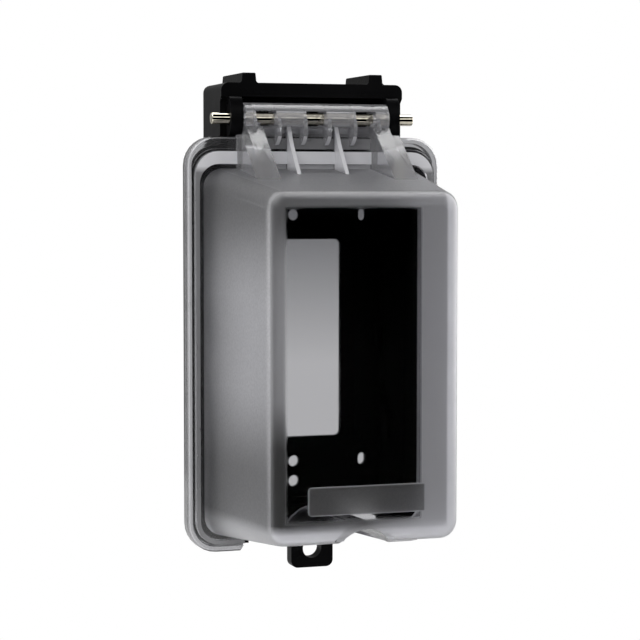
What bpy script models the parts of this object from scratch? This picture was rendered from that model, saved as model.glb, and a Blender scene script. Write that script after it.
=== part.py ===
"""Weatherproof in-use box for one wall device: black moulded base, clear bubble cover, steel hinge pin, foam gasket.

Frame: +Z is up, +X is to the right of someone who faces the box, and -Y points out of the wall.
The wall plane is Y = 0, and the origin is the centre of the device opening on that plane.
"""

import math

import bmesh
import bpy
from mathutils import Matrix, Vector

MM = 0.001

# Wall device: its screw pitch and its opening set the height and width of everything else
DEVICE_SCREW_HALF_PITCH = 41.67 * MM
OPENING_HALF_WIDTH = 16.65 * MM
OPENING_CORNER = 1.8 * MM
OPENING_SCREW_STEP = 8.27 * MM
PLATE_SCREW_STEP = 6.75 * MM
SCREW_HOLE_RADIUS = 1.95 * MM
SIDE_HOLE_STEP = 7.55 * MM
SIDE_SLOT_HALF_WIDTH = 1.5 * MM
SIDE_SLOT_HALF_HEIGHT = 2.1 * MM

# Clearances
SEAT_GAP = 0.3 * MM
HINGE_CLEARANCE = 0.25 * MM
EAR_CLEARANCE = 0.3 * MM
RIM_SWING_GAP = 1.1 * MM

# Foam gasket between the base and the wall
GASKET_THICKNESS = 1.2 * MM
GASKET_INSET = 1.0 * MM
GASKET_BAND = 5.5 * MM
GASKET_CORNER = 5.0 * MM

# Base tray
TRAY_DEPTH = 23.7 * MM
TRAY_WALL = 2.0 * MM
PANEL_THICKNESS = 2.0 * MM
RECESS_SIDE_MARGIN = 14.35 * MM
RECESS_END_MARGIN = 8.08 * MM
RECESS_CORNER = 3.5 * MM
RIM_THICKNESS = 2.0 * MM

# Relief on the panel
HOLE_COLLAR_RADIUS = 4.6 * MM
HOLE_COLLAR_HEIGHT = 0.6 * MM
INNER_PAD_WIDTH = 3.9 * MM
INNER_PAD_HEIGHT = 0.5 * MM
PAD_GROOVE = 0.7 * MM
OUTER_PAD_WIDTH = 8.0 * MM
OUTER_PAD_HEIGHT = 1.0 * MM
CATCH_HALF_HEIGHT = 4.3 * MM
CATCH_WIDTH = 2.6 * MM
CATCH_DEPTH = 3.0 * MM
TIE_BAR_HALF_WIDTH = 6.0 * MM
TIE_BAR_RISE = 1.9 * MM
TIE_BAR_HEIGHT = 1.8 * MM
TIE_BAR_DEPTH = 1.4 * MM

# Cord notches through the bottom of the tray
CORD_NOTCH_INSET = 8.0 * MM
CORD_NOTCH_RADIUS = 5.6 * MM
CORD_NOTCH_DEPTH = 10.2 * MM

# Hinge housing on top of the tray
HOOD_RISE = 11.6 * MM
HOOD_SETBACK = 0.3 * MM
HOOD_BAND = 4.5 * MM
HOUSING_CORNER = 2.5 * MM
HOUSING_TAPER = 0.4 * MM
CHEEK_SETBACK = 1.9 * MM
BAY_WALL = 2.4 * MM
BAY_DEPTH = 12.9 * MM
CHEEK_WIDTH = 2.2 * MM
EAR_WIDTH = 4.1 * MM
EAR_REACH = 3.0 * MM
EAR_HALF_DEPTH = 3.5 * MM
EAR_HALF_HEIGHT = 6.9 * MM
EAR_RISE = 0.6 * MM
STOP_BLOCK_INSET = 9.35 * MM
STOP_BLOCK_WIDTH = 4.9 * MM
STOP_BLOCK_HEIGHT = 3.2 * MM
STOP_BLOCK_FOOT = 0.5 * MM

# Hinge pin
HINGE_RISE = 5.8 * MM
HINGE_FORWARD = 0.7 * MM
PIN_RADIUS = 1.875 * MM
PIN_LEFT_REACH = 3.7 * MM
PIN_RIGHT_REACH = 3.0 * MM
PIN_CHAMFER = 0.45 * MM

# Padlock tab and the sill beside it
TAB_HALF_WIDTH = 7.2 * MM
TAB_REACH = 7.4 * MM
TAB_SETBACK = 1.3 * MM
TAB_THICKNESS = 4.7 * MM
TAB_CORNER = 2.3 * MM
TAB_HOLE_RISE = 6.3 * MM
TAB_HOLE_RADIUS = 3.2 * MM
SILL_HEIGHT = 1.4 * MM
SILL_INSET = 4.0 * MM

# Cover flange
COVER_WALL = 2.0 * MM
SKIRT_WALL = 1.8 * MM
SKIRT_DEPTH = 5.2 * MM
FLANGE_SIDE_MARGIN = 12.1 * MM
FLANGE_END_MARGIN = 10.6 * MM
FLANGE_CORNER = 9.4 * MM
FLANGE_EDGE = 0.7 * MM
RIM_BAND = 1.7 * MM
RIM_BAND_TOP = 3.9 * MM
GROOVE_WIDTH = 0.9 * MM
GROOVE_DEPTH = 0.6 * MM
SHOULDER_BAND = 1.3 * MM
SHOULDER_BAND_TOP = 4.0 * MM
SHOULDER_RISE = 1.3 * MM
ROOT_GROOVE_WIDTH = 1.5 * MM

# Bubble
BUBBLE_DEPTH = 50.4 * MM
DRAFT_SIDE = 0.146
DRAFT_TOP = 0.150
DRAFT_BOTTOM = 0.073
BUBBLE_FRONT_CORNER = 5.6 * MM
BUBBLE_EDGE_RADIUS = 5.2 * MM
LABEL_SIDE_MARGIN = 11.4 * MM
LABEL_HALF_HEIGHT = 4.4 * MM
LABEL_RISE = 17.3 * MM
LABEL_THICKNESS = 0.4 * MM
LABEL_CORNER = 1.2 * MM

# Hinge barrel and its webs, on the cover
BARREL_RADIUS = 5.1 * MM
BARREL_UNDERSIDE_DROP = 2.6 * MM
LEAF_THICKNESS = 2.0 * MM
POCKET_END_INSET = 7.5 * MM
POCKET_HALF_WIDTH = 3.5 * MM
POCKET_SHIFT = -0.65 * MM
POCKET_HALF_HEIGHT = 2.45 * MM
WEB_THICKNESS = 1.2 * MM
WEB_RADIUS = 5.6 * MM
WEB_FORWARD = 1.0 * MM
WEB_DROP = 3.1 * MM
GUSSET_THICKNESS = 1.3 * MM
GUSSET_INSET = 0.35 * MM
GUSSET_SHIFT = -1.2 * MM
GUSSET_TOP_REACH = 2.2 * MM
GUSSET_KNEE_REACH = 6.0 * MM
GUSSET_KNEE_DROP = 8.8 * MM
GUSSET_TIP_REACH = 14.6 * MM
RIB_THICKNESS = 5.4 * MM
RIB_INSET = 0.1 * MM
RIB_TOP_REACH = 4.6 * MM
RIB_TIP_REACH = 26.6 * MM
RIB_WING_WIDTH = 2.4 * MM
RIB_WING_DROP = 5.3 * MM

# Flange cut-out and padlock arch at the bottom of the cover
CUTOUT_CLEARANCE = 0.2 * MM
CUTOUT_SLANT = 1.0 * MM
ARCH_RADIUS = 9.3 * MM
ARCH_WALL = 2.0 * MM
ARCH_RISE_FRONT = 8.1 * MM
ARCH_RISE_BACK = 6.4 * MM

# Facets
CORNER_STEPS = 7
EDGE_STEPS = 5
ROUND_STEPS = 32
SMALL_ROUND_STEPS = 16
SMOOTH_ANGLE = math.radians(32)
REACH = 20 * MM

# Heights and widths that follow from the sizes above
OPENING_HALF_HEIGHT = DEVICE_SCREW_HALF_PITCH - OPENING_SCREW_STEP
PLATE_SCREW_HALF_PITCH = DEVICE_SCREW_HALF_PITCH + PLATE_SCREW_STEP
SIDE_HOLE_X = OPENING_HALF_WIDTH + SIDE_HOLE_STEP
RECESS_HALF_WIDTH = OPENING_HALF_WIDTH + RECESS_SIDE_MARGIN
RECESS_HALF_HEIGHT = PLATE_SCREW_HALF_PITCH + RECESS_END_MARGIN
GASKET_HALF_WIDTH = RECESS_HALF_WIDTH + TRAY_WALL - GASKET_INSET
GASKET_HALF_HEIGHT = RECESS_HALF_HEIGHT + TRAY_WALL - GASKET_INSET
TIE_BAR_Z = TIE_BAR_RISE - RECESS_HALF_HEIGHT
FLANGE_HALF_WIDTH = RECESS_HALF_WIDTH + FLANGE_SIDE_MARGIN
FLANGE_HALF_HEIGHT = RECESS_HALF_HEIGHT + FLANGE_END_MARGIN
SKIRT_INNER_HALF_WIDTH = FLANGE_HALF_WIDTH - SKIRT_WALL
SKIRT_INNER_HALF_HEIGHT = FLANGE_HALF_HEIGHT - SKIRT_WALL
RIM_HALF_WIDTH = SKIRT_INNER_HALF_WIDTH - SEAT_GAP
RIM_BOTTOM = -(SKIRT_INNER_HALF_HEIGHT - SEAT_GAP)
RIM_TOP = SKIRT_INNER_HALF_HEIGHT - RIM_SWING_GAP
ROOT_INSET = RIM_BAND + GROOVE_WIDTH + SHOULDER_BAND + ROOT_GROOVE_WIDTH
ROOT_INSET_TOP = RIM_BAND_TOP + GROOVE_WIDTH + SHOULDER_BAND_TOP + ROOT_GROOVE_WIDTH
ROOT_HALF_WIDTH = FLANGE_HALF_WIDTH - ROOT_INSET
ROOT_TOP = FLANGE_HALF_HEIGHT - ROOT_INSET_TOP
ROOT_BOTTOM = -(FLANGE_HALF_HEIGHT - ROOT_INSET)
ROOT_CORNER = FLANGE_CORNER - 0.6 * ROOT_INSET
LABEL_HALF_WIDTH = ROOT_HALF_WIDTH - DRAFT_SIDE * BUBBLE_DEPTH - LABEL_SIDE_MARGIN
LABEL_Z = ROOT_BOTTOM + LABEL_RISE
ARCH_CROWN_FRONT = ROOT_BOTTOM + ARCH_RISE_FRONT
ARCH_CROWN_BACK = ROOT_BOTTOM + ARCH_RISE_BACK
HOUSING_HALF_WIDTH = RECESS_HALF_WIDTH
HOUSING_FOOT = FLANGE_HALF_HEIGHT + SEAT_GAP
STOP_BLOCK_X = HOUSING_HALF_WIDTH - STOP_BLOCK_INSET
BAY_HALF_WIDTH = HOUSING_HALF_WIDTH - CHEEK_WIDTH - EAR_WIDTH
BARREL_HALF_LENGTH = BAY_HALF_WIDTH - EAR_CLEARANCE
POCKET_PITCH = BARREL_HALF_LENGTH - POCKET_END_INSET
GUSSET_HALF_PITCH = POCKET_PITCH / 2 - GUSSET_INSET
PIN_LEFT = -(HOUSING_HALF_WIDTH + PIN_LEFT_REACH)
PIN_RIGHT = HOUSING_HALF_WIDTH + PIN_RIGHT_REACH
PIN_Z = FLANGE_HALF_HEIGHT + HINGE_RISE
BARREL_FRONT_BOTTOM = PIN_Z - BARREL_UNDERSIDE_DROP
HOUSING_TOP = PIN_Z + HOOD_RISE
CUTOUT_HALF_WIDTH = BARREL_HALF_LENGTH + CUTOUT_CLEARANCE
CUTOUT_TOP = ROOT_BOTTOM - 0.5 * MM
CORD_NOTCH_X = CUTOUT_HALF_WIDTH - CORD_NOTCH_INSET
TAB_BOTTOM = -(FLANGE_HALF_HEIGHT + TAB_REACH)
TAB_HOLE_Z = TAB_BOTTOM + TAB_HOLE_RISE

# Depths that follow from the sizes above
BASE_BACK = -(GASKET_THICKNESS + SEAT_GAP)
PANEL_FRONT = BASE_BACK - PANEL_THICKNESS
RIM_FRONT = BASE_BACK - TRAY_DEPTH
RIM_BACK = RIM_FRONT + RIM_THICKNESS
PLATE_BACK = RIM_FRONT - SEAT_GAP
PLATE_FRONT = PLATE_BACK - COVER_WALL
SKIRT_BACK = PLATE_FRONT + SKIRT_DEPTH
SHOULDER_FRONT = PLATE_FRONT - SHOULDER_RISE
BUBBLE_FRONT = PLATE_FRONT - BUBBLE_DEPTH
HOOD_FRONT = RIM_FRONT + HOOD_SETBACK
CHEEK_FRONT = RIM_FRONT + CHEEK_SETBACK
BAY_BACK = HOOD_FRONT + BAY_DEPTH
PIN_Y = RIM_FRONT - HINGE_FORWARD
TAB_FRONT = RIM_FRONT + TAB_SETBACK
CORD_NOTCH_Y = RIM_FRONT + CORD_NOTCH_DEPTH


def clear_scene():
    for obj in list(bpy.data.objects):
        bpy.data.objects.remove(obj, do_unlink=True)


def material(name, colour, roughness, metallic=0.0, alpha=1.0):
    made = bpy.data.materials.new(name)
    made.use_nodes = True
    shader = made.node_tree.nodes["Principled BSDF"]
    shader.inputs["Base Color"].default_value = (*colour, 1.0)
    shader.inputs["Roughness"].default_value = roughness
    shader.inputs["Metallic"].default_value = metallic
    shader.inputs["Alpha"].default_value = alpha
    made.diffuse_color = (*colour, alpha)
    return made


def new_object(name, mesh_data):
    """Closes the bmesh into an object, with its faces turned outwards."""
    bmesh.ops.recalc_face_normals(mesh_data, faces=mesh_data.faces)
    mesh = bpy.data.meshes.new(name)
    mesh_data.to_mesh(mesh)
    mesh_data.free()
    obj = bpy.data.objects.new(name, mesh)
    bpy.context.scene.collection.objects.link(obj)
    return obj


def combine(target, tool, operation):
    """Joins or cuts target with tool, then removes the tool."""
    modifier = target.modifiers.new(tool.name, "BOOLEAN")
    modifier.operation = operation
    modifier.solver = "EXACT"
    modifier.object = tool
    graph = bpy.context.evaluated_depsgraph_get()
    mesh = bpy.data.meshes.new_from_object(target.evaluated_get(graph))
    target.modifiers.clear()
    target.data = mesh
    bpy.data.objects.remove(tool, do_unlink=True)


def add(target, tool):
    combine(target, tool, "UNION")


def cut(target, tool):
    combine(target, tool, "DIFFERENCE")


def rounded_outline(half_width, top, bottom, radius, steps=CORNER_STEPS):
    """Points (x, z) of an upright rounded rectangle, the same number whatever its size."""
    corners = (
        (half_width - radius, bottom + radius, -90),
        (half_width - radius, top - radius, 0),
        (radius - half_width, top - radius, 90),
        (radius - half_width, bottom + radius, 180),
    )
    points = []
    for centre_x, centre_z, start in corners:
        for step in range(steps + 1):
            angle = math.radians(start + 90 * step / steps)
            points.append((centre_x + radius * math.cos(angle), centre_z + radius * math.sin(angle)))
    return points


def loft(name, sections):
    """A closed solid through sections, each a depth y and an outline of (x, z) points."""
    shape = bmesh.new()
    rings = []
    for y, outline in sections:
        rings.append([shape.verts.new((x, y, z)) for x, z in outline])
    for ring, following in zip(rings, rings[1:]):
        for index in range(len(ring)):
            after = (index + 1) % len(ring)
            shape.faces.new((ring[index], ring[after], following[after], following[index]))
    shape.faces.new(rings[0])
    shape.faces.new(rings[-1])
    return new_object(name, shape)


def block(name, x_range, y_range, z_range):
    shape = bmesh.new()
    bmesh.ops.create_cube(shape, size=1.0)
    for vert in shape.verts:
        for axis, (low, high) in enumerate((x_range, y_range, z_range)):
            vert.co[axis] = low if vert.co[axis] < 0 else high
    return new_object(name, shape)


def plate(name, outline, x_range):
    """A plate whose outline is (y, z) points, spanning x_range."""
    shape = bmesh.new()
    near = [shape.verts.new((x_range[0], y, z)) for y, z in outline]
    far = [shape.verts.new((x_range[1], y, z)) for y, z in outline]
    shape.faces.new(near)
    shape.faces.new(far)
    for index in range(len(near)):
        after = (index + 1) % len(near)
        shape.faces.new((near[index], near[after], far[after], far[index]))
    return new_object(name, shape)


def rod(name, centre, radius, x_range, steps=ROUND_STEPS, end_chamfer=0.0):
    """A round rod along X about centre, a (y, z) pair."""
    rings = [(x_range[0], radius), (x_range[1], radius)]
    if end_chamfer:
        small = radius - end_chamfer
        rings = [
            (x_range[0], small),
            (x_range[0] + end_chamfer, radius),
            (x_range[1] - end_chamfer, radius),
            (x_range[1], small),
        ]
    shape = bmesh.new()
    loops = []
    for x, ring_radius in rings:
        loop = []
        for step in range(steps):
            angle = 2 * math.pi * step / steps
            place = (x, centre[0] + ring_radius * math.cos(angle), centre[1] + ring_radius * math.sin(angle))
            loop.append(shape.verts.new(place))
        loops.append(loop)
    for loop, following in zip(loops, loops[1:]):
        for index in range(steps):
            after = (index + 1) % steps
            shape.faces.new((loop[index], loop[after], following[after], following[index]))
    shape.faces.new(loops[0])
    shape.faces.new(loops[-1])
    return new_object(name, shape)


def drill(name, centre, radius, y_range, stretch=0.0, steps=SMALL_ROUND_STEPS):
    """A round or slotted peg along Y about centre, an (x, z) pair; stretch lengthens it in Z."""
    outline = []
    for step in range(steps):
        angle = 2 * math.pi * (step + 0.5) / steps
        shift = stretch if math.sin(angle) > 0 else -stretch
        outline.append((centre[0] + radius * math.cos(angle), centre[1] + radius * math.sin(angle) + shift))
    return loft(name, [(y_range[0], outline), (y_range[1], outline)])


def finish(obj, finish_material, origin=(0, 0, 0)):
    """Gives the object its origin, its material and smooth round faces."""
    obj.data.transform(Matrix.Translation(-Vector(origin)))
    obj.location = origin
    obj.data.materials.clear()
    obj.data.materials.append(finish_material)
    obj.data.shade_smooth()
    obj.data.set_sharp_from_angle(angle=SMOOTH_ANGLE)
    return obj


def wall_gasket(foam):
    """A flat foam frame that seals the base to the wall round the device box."""
    outer = rounded_outline(GASKET_HALF_WIDTH, GASKET_HALF_HEIGHT, -GASKET_HALF_HEIGHT, GASKET_CORNER)
    gasket = loft("wall_gasket", [(-GASKET_THICKNESS, outer), (0, outer)])
    inner_half_width = GASKET_HALF_WIDTH - GASKET_BAND
    inner_half_height = GASKET_HALF_HEIGHT - GASKET_BAND
    inner = rounded_outline(inner_half_width, inner_half_height, -inner_half_height, GASKET_CORNER / 2)
    cut(gasket, loft("gasket_hole", [(-GASKET_THICKNESS - REACH, inner), (REACH, inner)]))
    return finish(gasket, foam)


def tray():
    """The tray with its rim: one skin from the back, round the rim and down into the recess."""
    body_half_width = RECESS_HALF_WIDTH + TRAY_WALL
    body_half_height = RECESS_HALF_HEIGHT + TRAY_WALL
    body = rounded_outline(body_half_width, body_half_height, -body_half_height, RECESS_CORNER + TRAY_WALL)
    rim = rounded_outline(RIM_HALF_WIDTH, RIM_TOP, RIM_BOTTOM, FLANGE_CORNER - SKIRT_WALL)
    recess = rounded_outline(RECESS_HALF_WIDTH, RECESS_HALF_HEIGHT, -RECESS_HALF_HEIGHT, RECESS_CORNER)
    return loft(
        "base_housing",
        [
            (BASE_BACK, body),
            (RIM_BACK, body),
            (RIM_BACK, rim),
            (RIM_FRONT, rim),
            (RIM_FRONT, recess),
            (PANEL_FRONT, recess),
        ],
    )


def add_panel_detail(base):
    """Raised pads beside the opening, collars round the screw holes, catches and the tie bar."""
    inner_end = OPENING_HALF_WIDTH + INNER_PAD_WIDTH
    outer_start = inner_end + PAD_GROOVE
    depth_inside = PANEL_FRONT + PANEL_THICKNESS / 2
    height = (-OPENING_HALF_HEIGHT, OPENING_HALF_HEIGHT)
    for side in (-1, 1):
        inner_x = sorted((side * OPENING_HALF_WIDTH, side * inner_end))
        add(base, block("inner_pad", inner_x, (PANEL_FRONT - INNER_PAD_HEIGHT, depth_inside), height))
        outer_x = sorted((side * outer_start, side * (outer_start + OUTER_PAD_WIDTH)))
        add(base, block("outer_pad", outer_x, (PANEL_FRONT - OUTER_PAD_HEIGHT, depth_inside), height))
        catch_x = sorted((side * (RECESS_HALF_WIDTH - CATCH_WIDTH), side * (RECESS_HALF_WIDTH + TRAY_WALL / 2)))
        catch_y = (PANEL_FRONT - CATCH_DEPTH, depth_inside)
        add(base, block("catch", catch_x, catch_y, (-CATCH_HALF_HEIGHT, CATCH_HALF_HEIGHT)))
        for end in (-1, 1):
            place = (side * SIDE_HOLE_X, end * DEVICE_SCREW_HALF_PITCH)
            collar_y = (PANEL_FRONT - HOLE_COLLAR_HEIGHT, depth_inside)
            add(base, drill("collar", place, HOLE_COLLAR_RADIUS, collar_y, 0, ROUND_STEPS))
    bar_z = (TIE_BAR_Z - TIE_BAR_HEIGHT / 2, TIE_BAR_Z + TIE_BAR_HEIGHT / 2)
    bar_x = (-TIE_BAR_HALF_WIDTH, TIE_BAR_HALF_WIDTH)
    add(base, block("tie_bar", bar_x, (PANEL_FRONT - TIE_BAR_DEPTH, depth_inside), bar_z))


def cut_panel(base):
    """The device opening and the screw holes, right through the panel."""
    through = (PANEL_FRONT - REACH / 2, BASE_BACK + REACH / 2)
    opening = rounded_outline(OPENING_HALF_WIDTH, OPENING_HALF_HEIGHT, -OPENING_HALF_HEIGHT, OPENING_CORNER)
    cut(base, loft("device_opening", [(through[0], opening), (through[1], opening)]))
    for end in (-1, 1):
        for half_pitch in (DEVICE_SCREW_HALF_PITCH, PLATE_SCREW_HALF_PITCH):
            cut(base, drill("screw_hole", (0, end * half_pitch), SCREW_HOLE_RADIUS, through))
        for side in (-1, 1):
            place = (side * SIDE_HOLE_X, end * DEVICE_SCREW_HALF_PITCH)
            stretch = SIDE_SLOT_HALF_HEIGHT - SIDE_SLOT_HALF_WIDTH
            cut(base, drill("side_slot", place, SIDE_SLOT_HALF_WIDTH, through, stretch))


def housing_block():
    """The hinge housing: a side profile with a hood at the front, and rounded upper corners."""
    foot = RECESS_HALF_HEIGHT + TRAY_WALL / 2
    hood_bottom = HOUSING_TOP - HOOD_BAND
    step = CHEEK_FRONT - HOOD_FRONT
    skirt_clear = SKIRT_BACK + SEAT_GAP
    profile = [
        (BASE_BACK, foot),
        (skirt_clear, foot),
        (skirt_clear, HOUSING_FOOT),
        (CHEEK_FRONT, HOUSING_FOOT),
        (CHEEK_FRONT, hood_bottom - step),
        (HOOD_FRONT, hood_bottom),
        (HOOD_FRONT, HOUSING_TOP),
        (BASE_BACK, HOUSING_TOP),
    ]
    housing = plate("housing", profile, (-HOUSING_HALF_WIDTH, HOUSING_HALF_WIDTH))
    silhouette = rounded_outline(HOUSING_HALF_WIDTH, HOUSING_TOP, foot - REACH, HOUSING_CORNER)
    back_silhouette = rounded_outline(HOUSING_HALF_WIDTH - HOUSING_TAPER, HOUSING_TOP, foot - REACH, HOUSING_CORNER)
    front = HOOD_FRONT - SEAT_GAP
    mask = loft("housing_mask", [(front - REACH, silhouette), (front, silhouette), (0, back_silhouette)])
    combine(housing, mask, "INTERSECT")
    return housing


def ear_outline():
    """Side view of a hinge ear: a long oval nose in front of the pin, running back into hood and cheek."""
    centre_y = PIN_Y - EAR_REACH + EAR_HALF_DEPTH
    centre_z = PIN_Z + EAR_RISE
    upper_height = EAR_HALF_HEIGHT
    lower_height = centre_z - HOUSING_FOOT
    nose = []
    for step in range(1, ROUND_STEPS // 2):
        angle = math.pi / 2 + math.pi * step / (ROUND_STEPS // 2)
        height = upper_height if math.sin(angle) > 0 else lower_height
        z = min(centre_z + height * math.sin(angle), HOUSING_TOP - HOOD_BAND)
        nose.append((centre_y + EAR_HALF_DEPTH * math.cos(angle), z))
    hood_middle = HOUSING_TOP - HOOD_BAND / 2
    upper = [(BAY_BACK, hood_middle), (HOOD_FRONT + SEAT_GAP, hood_middle)]
    under_hood = [(HOOD_FRONT + SEAT_GAP, HOUSING_TOP - HOOD_BAND)]
    return upper + under_hood + nose + [(centre_y, HOUSING_FOOT), (BAY_BACK, HOUSING_FOOT)]


def stop_block(middle):
    """A rib on top of the housing that the open cover meets, a little wider at its foot."""
    half_width = STOP_BLOCK_WIDTH / 2
    foot = half_width + STOP_BLOCK_FOOT
    root = HOUSING_TOP - HOOD_BAND / 2
    shoulder = HOUSING_TOP + STOP_BLOCK_FOOT
    top = HOUSING_TOP + STOP_BLOCK_HEIGHT
    outline = [
        (middle - foot, root),
        (middle + foot, root),
        (middle + foot, HOUSING_TOP),
        (middle + half_width, shoulder),
        (middle + half_width - STOP_BLOCK_FOOT / 2, top - STOP_BLOCK_FOOT / 2),
        (middle + half_width - STOP_BLOCK_FOOT, top),
        (middle - half_width + STOP_BLOCK_FOOT, top),
        (middle - half_width + STOP_BLOCK_FOOT / 2, top - STOP_BLOCK_FOOT / 2),
        (middle - half_width, shoulder),
        (middle - foot, HOUSING_TOP),
    ]
    return loft("stop_block", [(HOOD_FRONT, outline), (BASE_BACK, outline)])


def add_housing(base):
    """Housing, bay for the cover's barrel, ears with the pin's holes, stop blocks and the hollow behind."""
    housing = housing_block()
    bay_top = HOUSING_TOP - HOOD_BAND
    bay_z = (HOUSING_FOOT, bay_top)
    bay_x = (-(BAY_HALF_WIDTH + EAR_WIDTH), BAY_HALF_WIDTH + EAR_WIDTH)
    cut(housing, block("bay", bay_x, (HOOD_FRONT - REACH, BAY_BACK), bay_z))
    for side in (-1, 1):
        ear_x = sorted((side * BAY_HALF_WIDTH, side * (BAY_HALF_WIDTH + EAR_WIDTH)))
        add(housing, plate("ear", ear_outline(), ear_x))
        add(housing, stop_block(side * STOP_BLOCK_X))
    hollow_x = (-(HOUSING_HALF_WIDTH - BAY_WALL), HOUSING_HALF_WIDTH - BAY_WALL)
    hollow_z = (RECESS_HALF_HEIGHT + TRAY_WALL + BAY_WALL, HOUSING_TOP - BAY_WALL)
    cut(housing, block("hollow", hollow_x, (BAY_BACK + BAY_WALL, REACH), hollow_z))
    add(base, housing)
    hole_x = (-HOUSING_HALF_WIDTH - REACH, HOUSING_HALF_WIDTH + REACH)
    cut(base, rod("pin_hole", (PIN_Y, PIN_Z), PIN_RADIUS + SEAT_GAP, hole_x))


def segment(radius, centre_z, floor_z, steps=ROUND_STEPS // 2):
    """Outline of the part of a disc that lies above floor_z, as (x, z) points."""
    half_angle = math.acos(max(-1.0, min(1.0, (floor_z - centre_z) / radius)))
    points = []
    for step in range(steps + 1):
        angle = half_angle - 2 * half_angle * step / steps
        points.append((radius * math.sin(angle), centre_z + radius * math.cos(angle)))
    return points


def add_padlock_tab(base):
    """The hasp tab under the rim, the stop behind the arch, and the sill in the cover's cut-out."""
    tab_back = TAB_FRONT + TAB_THICKNESS
    tab = rounded_outline(TAB_HALF_WIDTH, -RECESS_HALF_HEIGHT, TAB_BOTTOM, TAB_CORNER)
    add(base, loft("tab", [(TAB_FRONT, tab), (tab_back, tab)]))
    arch_stop = segment(ARCH_RADIUS + ARCH_WALL, ARCH_CROWN_BACK - ARCH_RADIUS, -RECESS_HALF_HEIGHT - TRAY_WALL / 2)
    add(base, loft("arch_stop", [(RIM_FRONT, arch_stop), (RIM_BACK, arch_stop)]))
    sill_half_width = CUTOUT_HALF_WIDTH - SILL_INSET
    sill_top = CUTOUT_TOP - SEAT_GAP
    sill_z = (sill_top - SILL_HEIGHT, sill_top)
    sill_y = (PLATE_FRONT, RIM_FRONT + RIM_THICKNESS / 2)
    add(base, block("sill", (-sill_half_width, sill_half_width), sill_y, sill_z))
    hole_y = (TAB_FRONT - REACH, tab_back + REACH)
    cut(base, drill("padlock_hole", (0, TAB_HOLE_Z), TAB_HOLE_RADIUS, hole_y, 0, ROUND_STEPS))


def cut_cord_notches(base):
    """Two U-shaped notches that let cords leave through the bottom wall."""
    for side in (-1, 1):
        centre_x = side * CORD_NOTCH_X
        outline = []
        for step in range(ROUND_STEPS // 2 + 1):
            angle = math.pi * step / (ROUND_STEPS // 2)
            x = centre_x + CORD_NOTCH_RADIUS * math.cos(angle)
            outline.append((x, CORD_NOTCH_Y + CORD_NOTCH_RADIUS * math.sin(angle)))
        outline.append((centre_x - CORD_NOTCH_RADIUS, PLATE_FRONT - REACH))
        outline.append((centre_x + CORD_NOTCH_RADIUS, PLATE_FRONT - REACH))
        shape = bmesh.new()
        top = [shape.verts.new((x, y, -RECESS_HALF_HEIGHT + REACH / 4)) for x, y in outline]
        bottom = [shape.verts.new((x, y, RIM_BOTTOM - REACH)) for x, y in outline]
        shape.faces.new(top)
        shape.faces.new(bottom)
        for index in range(len(top)):
            after = (index + 1) % len(top)
            shape.faces.new((top[index], top[after], bottom[after], bottom[index]))
        cut(base, new_object("cord_notch", shape))


def base_housing(black_plastic):
    base = tray()
    add_panel_detail(base)
    cut_panel(base)
    add_housing(base)
    add_padlock_tab(base)
    cut_cord_notches(base)
    return finish(base, black_plastic)


def hinge_pin(steel):
    pin = rod("hinge_pin", (PIN_Y, PIN_Z), PIN_RADIUS, (PIN_LEFT, PIN_RIGHT), ROUND_STEPS, PIN_CHAMFER)
    return finish(pin, steel, (0, PIN_Y, PIN_Z))


def flange_outline(inset, inset_top, corner):
    """An outline inside the flange's own, narrower by inset at the sides and bottom and by inset_top above."""
    half_width = FLANGE_HALF_WIDTH - inset
    return rounded_outline(half_width, FLANGE_HALF_HEIGHT - inset_top, inset - FLANGE_HALF_HEIGHT, corner)


def bubble_outline(y, inset=0.0):
    """The bubble's outer outline at depth y, moved inwards by inset."""
    forward = PLATE_FRONT - y
    share = max(0.0, min(1.0, forward / BUBBLE_DEPTH))
    half_width = ROOT_HALF_WIDTH - DRAFT_SIDE * forward - inset
    top = ROOT_TOP - DRAFT_TOP * forward - inset
    bottom = ROOT_BOTTOM + DRAFT_BOTTOM * forward + inset
    corner = ROOT_CORNER + (BUBBLE_FRONT_CORNER - ROOT_CORNER) * share - 0.8 * inset
    return rounded_outline(half_width, top, bottom, max(corner, 0.4 * MM))


def front_edge(front, radius, inset):
    """Sections that round the bubble's front edge, ending on the flat front."""
    sections = []
    start = front + radius
    for step in range(EDGE_STEPS + 1):
        angle = math.radians(90 * step / EDGE_STEPS)
        y = start - radius * math.sin(angle)
        sections.append((y, bubble_outline(start, inset + radius * (1 - math.cos(angle)))))
    return sections


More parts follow.
